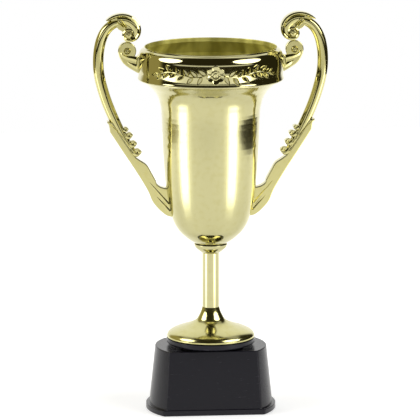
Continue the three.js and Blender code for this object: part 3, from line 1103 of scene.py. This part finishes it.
# %% Bar and ridges
def carve_bar(carving):
    """The striped bar and the three ridges over its upper end."""
    route = handle_line(
        (8.8, 24.9), (13.2, 23.8), (16.9, 20.8), (19.5, 16.2), (21.0, 10.5), (21.6, 4.0), (21.3, -2.5),
        (20.1, -8.9), (17.6, -17.5), (14.3, -26.0), (10.6, -34.0), (6.4, -41.5), (2.2, -48.0), steps=6,
    )
    sweep(carving, route, [2.3, 2.7, 2.85, 2.95, 2.95, 2.95, 2.95, 2.9, 2.8, 2.5, 1.6],
          [2.3, 2.75, 2.9, 2.9, 2.9, 2.9, 2.8, 2.6, 2.2], bar_section)
    high, low = Vector(on_handle(10.6, 26.4)), Vector(on_handle(5.9, 20.9))
    aside = Vector((-(high - low).y, (high - low).x)).normalized()
    for shift, share in ((-1.25, 0.74), (0.0, 0.96), (1.15, 0.90)):
        ridge_end = high + (low - high) * share
        line = [tuple(high.lerp(ridge_end, t) + aside * shift * (1 - 0.35 * t))
                for t in (0.0, 0.12, 0.35, 0.6, 0.82, 0.94, 1.0)]
        sweep(carving, line, [0.25, 0.52, 0.62, 0.60, 0.55, 0.42, 0.2],
              [2.2, 3.0, 3.35, 3.4, 3.3, 3.0, 2.2], round_bead)


# %% [markdown]
# ### Arm and lower scroll
# The arm reaches out from the band and ends in a round scroll with a ring and a button. A rail and
# a wedge, which fall off steeply on one side, give it the two dark lines on its face.

# %% Arm and lower scroll
def carve_arm(carving):
    """The arm, its rail, its ringed scroll, its wedge and the pad against the band."""
    underside = handle_line((0.1, -3.1), (2.9, -1.5), (5.7, 0.3), (8.2, 2.6), (10.0, 5.6), steps=5)
    plate(carving, [
        on_handle(-1.6, -3.3), *underside,
        *arc(*lower_eye, 5.0, 5.0, -20, 215, 30),
        *handle_line((0.6, 5.9), (-1.9, 6.6)),
    ], 2.3, 0.5)
    rail = handle_line((-0.6, 3.9), (2.6, 4.9), (5.2, 5.5), (7.9, 6.6), (9.3, 8.8), steps=5)
    sweep(carving, rail, [1.35, 1.35, 1.25, 1.1, 0.5], [3.15, 3.15, 3.0, 2.8, 2.4], step_section)
    ring = [about(lower_eye, 1.55, t) for t in range(0, 360, 10)]
    sweep(carving, ring, [0.55] * 2, [3.35] * 2, round_bead, joined=True)
    button(carving, lower_eye, 1.05, 2.95, 0.62)
    wedge = handle_line((-0.2, 0.1), (2.6, 1.3), (5.6, 3.1), steps=5)
    sweep(carving, wedge, [1.5, 1.25, 0.5], [3.1, 2.95, 2.45], step_section)
    plate(carving, handle_line((-3.4, 9.0), (-0.9, 1.8), (0.5, -1.2), (1.1, 1.2), (0.7, 5.7)), 3.3, 0.6)


# %% [markdown]
# ### Bracket, curls and tongues
# The bracket is a long leaf that lies against the bowl, with a shallow bevel round its face and two
# stepped veins. Four curls of falling size climb its inner edge, each a hook that starts in a
# bead, so one function makes a curl at any size. Tongues at two levels go through the walls.

# %% Bracket, curls and tongues
def curl(carving, bead, size):
    """A hook that starts in a bead and bends under it, to the bar."""
    steps = [(0.0, 0.0), (0.35, -0.75), (1.15, -1.35), (2.2, -1.3), (3.2, -0.3), (4.0, 1.4)]
    spine = curve_through([(bead[0] + x * size, bead[1] + z * size) for x, z in steps], 4)
    widths = [share * size for share in (1.05, 1.0, 1.1, 1.15, 0.8)]
    sweep(carving, spine, widths, [2.7, 2.9, 3.1, 3.2, 2.9], flat_bead)
    web = arc(bead[0] + 1.2 * size, bead[1] + 0.1, 1.7 * size, 1.5 * size, 0, 330, 11)
    plate(carving, web, 2.0, 0.3)
    plate(carving, arc(*bead, 0.92 * size, 0.92 * size, 0, 345, 23), 3.25, 0.75 * size, 5)


def carve_bracket(carving):
    """The leaf, its veins, the rim and button at its top, and its four curls."""
    outer = curve_through([
        beside_bowl(0.2, -83.5), beside_bowl(2.6, -82.6), beside_bowl(5.4, -79.8), beside_bowl(8.4, -75.0),
        *handle_line((-5.0, -68.0), (1.4, -57.3), (8.4, -46.6), (15.4, -35.7)),
    ], 6)
    top = handle_line((15.9, -32.1), (17.0, -29.8), (14.1, -30.2), (8.0, -40.1), (4.5, -45.5), (1.2, -49.9))
    inner = curve_through([
        *handle_line((-1.1, -51.6), (-4.7, -54.1), (-7.1, -58.1), (-9.6, -62.8), (-10.3, -64.9),
                     (-12.7, -66.7)),
        beside_bowl(-0.6, -67.5),
    ], 5)
    bracket_outline = [beside_bowl(-1.0, -83.0), *outer, *top, *inner, beside_bowl(-1.4, -67.9)]
    plate(carving, bracket_outline, depth=2.9, edge=0.75, steps=1, drop=0.28)
    for (x0, up0), (x1, up1) in (((-16.6, -76.4), (-6.4, -64.1)), ((-17.2, -80.4), (-10.2, -72.0))):
        vein = handle_line((x0, up0), ((x0 + x1) / 2, (up0 + up1) / 2), (x1, up1))
        sweep(carving, vein, [1.15, 0.85, 0.3], [3.65, 3.5, 3.0], step_section)
    rim = handle_line((6.6, -41.2), (9.4, -37.4), (15.6, -30.9), steps=6)
    sweep(carving, rim, [0.15, 0.38, 0.5], [2.9, 3.2, 3.4], round_bead)
    button(carving, on_handle(16.4, -30.3), 0.6, 3.1, 0.2, 16)
    for out, up, size in ((-0.9, -46.9, 1.15), (1.5, -42.2, 1.0), (3.7, -37.5, 0.95), (5.9, -34.2, 0.72)):
        curl(carving, on_handle(out, up), size)


def carve_tongues(carving):
    """The two tongues that pass through the band's and the bowl's walls."""
    for radius, level in ((band_radius, arm_level), (bowl_radius_at(tongue_level), tongue_level)):
        box = beside(radius, level, (-3.2, -2.5), (1.5, -2.5), (1.5, 2.5), (-3.2, 2.5))
        plate(carving, box, 1.5, 0.3)


# %% Both handles
for side, turn in (("right", 0.0), ("left", math.pi)):
    carving = Carving("handle_casting_" + side)
    for carve in (carve_top_scroll, carve_bar, carve_arm, carve_bracket, carve_tongues):
        carve(carving)
    stand_for(carving.piece(handle_gold, turn), "gold_plating", "handle_" + side)

# %% [markdown]
# ## Garland
# A branch of small leaves runs along the front of the band on each side of a rosette. Each leaf is
# an almond with a raised rim and a hollow heart. Placing dozens of them by hand would be slow, and
# they have to follow a curved wall, so a geometry-node tree sets them along a branch that is drawn
# flat, and then wraps the whole flat garland round the band.

# %% One leaf
def outlined(name, outline, rim_width, rim_height, heart_height):
    """A flat ornament with a raised rim; heights are in millimetres above the wall."""
    centre = Vector((sum(x for x, _ in outline), sum(y for _, y in outline))) / len(outline)
    rows = [(0.0, -0.25), (0.02, rim_height * 0.55), (0.35, rim_height), (0.75, rim_height * 0.7),
            (1.0, heart_height)]
    loops = []
    for share, height in rows:
        loop = []
        for x, y in outline:
            inward = centre - Vector((x, y))
            reach = min(rim_width * share / max(inward.length, 1e-6), 0.92)
            loop.append((x + inward.x * reach, y + inward.y * reach, height))
        loops.append(loop)
    carving = Carving(name)
    carving.skin(loops)
    return drawn(name, carving.points, faces=carving.faces)


def almond(length, width, steps=7):
    """The outline of a leaf that starts at the origin."""
    upper = [(length * i / steps, width / 2 * math.sin(math.pi * (i / steps) ** 0.85))
             for i in range(steps + 1)]
    lower = [(x, -y) for x, y in reversed(upper[1:-1])]
    return [*upper, *lower]


leaf_outline = almond(length=4.8, width=2.25)
leaf = outlined("garland_leaf", leaf_outline, rim_width=0.52, rim_height=1.0, heart_height=0.05)

# %% [markdown]
# ### Branches
# A branch is one wavy line. The tree sets leaves along it, leaning to one side and the other in
# turn, smaller towards the end, with the last one straight ahead. It adds the twig, and then bends
# everything round the band: the distance along the wall becomes an angle.

# %% Flat branch and wrapping
garland_turn = math.radians(-1.4)


def wrapped(start, shape, given):
    """A flat ornament, drawn as (along, up, out), laid on the wall of the band."""
    along, up, out = parts_of(start.node("GeometryNodeInputPosition"))
    turn = along / given["Band Radius"] + garland_turn
    reach = given["Band Radius"] + out
    x, y = reach * start.math("SINE", turn), 0 - reach * start.math("COSINE", turn)
    bent = combine(x, y, up + given["Level"])
    return start.node("GeometryNodeSetPosition", None, {"Geometry": shape, "Position": bent})


def make_branch_tree():
    """Leaves on a line, with its twig, wrapped round the band."""
    tree, given = group_tree("branch_of_leaves", [
        ("Branch", "Geometry"), ("Leaf", "Object"), ("Leaves", "Int"), ("Leaf Angle", "Float"),
        ("Stem Radius", "Float"), ("Band Radius", "Float"), ("Level", "Float"), ("Finish", "Material"),
    ])
    start = Wire(tree)
    line = start.node("GeometryNodeMeshToCurve", None, {0: given["Branch"]})
    dots = start.node(
        "GeometryNodeCurveToPoints", {"mode": "COUNT"}, {"Curve": line, "Count": given["Leaves"]}
    )
    tx, ty, _ = parts_of(Wire(tree, dots.socket.node.outputs["Tangent"]))
    index = start.node("GeometryNodeInputIndex")
    is_last = start.math("COMPARE", index, given["Leaves"] - 1, 0.5)
    side = (index - 2 * start.math("FLOOR", (index + 0.5) / 2)) * 2 - 1
    lean = side * given["Leaf Angle"] * (1 - is_last)
    rotation = combine(0.0, 0.0, start.math("ARCTAN2", ty, tx) + lean)
    jitter = start.node(
        "FunctionNodeRandomValue", {"data_type": "FLOAT"}, {"Min": 0.97, "Max": 1.15, "Seed": 4}, 1
    )
    size = jitter * (1.12 - 0.34 * index / given["Leaves"])
    leaf_shape = start.node("GeometryNodeObjectInfo", None, {"Object": given["Leaf"]}, "Geometry")
    leaves = start.node("GeometryNodeInstanceOnPoints", None, {
        "Points": dots, "Instance": leaf_shape, "Rotation": rotation, "Scale": size,
    })
    twig_sizes = {"Resolution": 8, "Radius": given["Stem Radius"]}
    twig = start.node("GeometryNodeCurvePrimitiveCircle", None, twig_sizes)
    stem_shape = start.node("GeometryNodeCurveToMesh", None, {0: line, 1: twig, "Fill Caps": True})
    both = start.node("GeometryNodeJoinGeometry", None, {0: [leaves, stem_shape]})
    flat = start.node("GeometryNodeRealizeInstances", None, {0: both})
    close_tree(start, wrapped(start, flat, given), given["Finish"])
    return tree


branch_tree = make_branch_tree()

# %% Two branches
garland_level = band_bottom + 7.7
branch_start, branch_end, branch_steps = 4.8, 35.0, 40
branch_swing, branch_bends = 1.15, 2.2
branch_leaves, leaf_angle, twig_radius = 13, math.radians(48), 0.26


def lay_branch(name, side):
    """A wavy branch from beside the rosette to one end of the garland."""
    points = []
    for i in range(branch_steps + 1):
        share = i / branch_steps
        wave = branch_swing * math.sin(share * branch_bends * math.pi)
        points.append((side * (branch_start + (branch_end - branch_start) * share), -wave - 0.2, 0.05))
    source = drawn(name + "_line", points, [(i, i + 1) for i in range(branch_steps)])
    return plain_mesh(name, source, branch_tree, {
        "Leaf": leaf, "Leaves": branch_leaves, "Leaf Angle": leaf_angle, "Stem Radius": twig_radius * MM,
        "Band Radius": band_radius * MM, "Level": garland_level * MM, "Finish": gold,
    })


garland = [lay_branch("garland_branch_left", -1), lay_branch("garland_branch_right", 1)]

# %% [markdown]
# ### Rosette
# The flower in the middle has six lobes in two tiers and a button. It is a stack of loops, each a
# circle with notches, and the list says how far out, how deeply notched and how high each one is.

# %% Rosette
rosette_lobes = 6
rosette_rings = [
    # radius, depth of the notches between the lobes, height above the wall
    (5.30, 0.95, -0.30), (5.28, 0.95, 0.60), (5.12, 0.95, 1.00), (4.88, 0.92, 1.10), (4.62, 0.88, 1.00),
    (2.95, 0.42, 0.12), (2.78, 0.36, 0.10), (2.66, 0.32, 0.55), (2.50, 0.28, 0.64), (1.75, 0.05, 0.66),
    (1.52, 0.0, 0.42), (1.38, 0.0, 0.42), (1.22, 0.0, 0.86), (0.95, 0.0, 1.02), (0.70, 0.0, 0.96),
    (0.50, 0.0, 0.60), (0.02, 0.0, 0.48),
]


def lobed_loop(radius, notch, height, points=120):
    """A flower-shaped loop, drawn flat as (along, up, out)."""
    loop = []
    for i in range(points):
        turn = math.tau * i / points
        petal = abs(math.cos(rosette_lobes / 2 * (turn - math.pi / 2)))
        reach = radius - notch * (1 - petal)
        loop.append((reach * math.cos(turn), reach * math.sin(turn), height))
    return loop


def make_wrapping_tree():
    """One flat ornament wrapped round the band."""
    tree, given = group_tree("wrapping", [
        ("Ornament", "Geometry"), ("Band Radius", "Float"), ("Level", "Float"), ("Finish", "Material"),
    ])
    start = Wire(tree)
    close_tree(start, wrapped(start, given["Ornament"], given), given["Finish"])
    return tree


flower = Carving("rosette_flower")
flower.skin([lobed_loop(*ring) for ring in rosette_rings])
flower_source = drawn(flower.name, flower.points, faces=flower.faces)
garland.append(plain_mesh("garland_rosette", flower_source, make_wrapping_tree(), {
    "Band Radius": band_radius * MM, "Level": garland_level * MM, "Finish": gold,
}, crease=65))
for ornament in garland:
    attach(ornament, "root")
bpy.data.objects.remove(leaf)

# %% [markdown]
# ## Hardware
# The rod, nuts and washers are right as the working model has them, and only their finish changes.

# %% Zinc on the hardware
for name in ("tie_rod", "bowl_washer", "bowl_nut", "base_washer", "base_nut"):
    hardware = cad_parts[name]
    hardware.data.materials.clear()
    hardware.data.materials.append(zinc)
print("hardware finished")
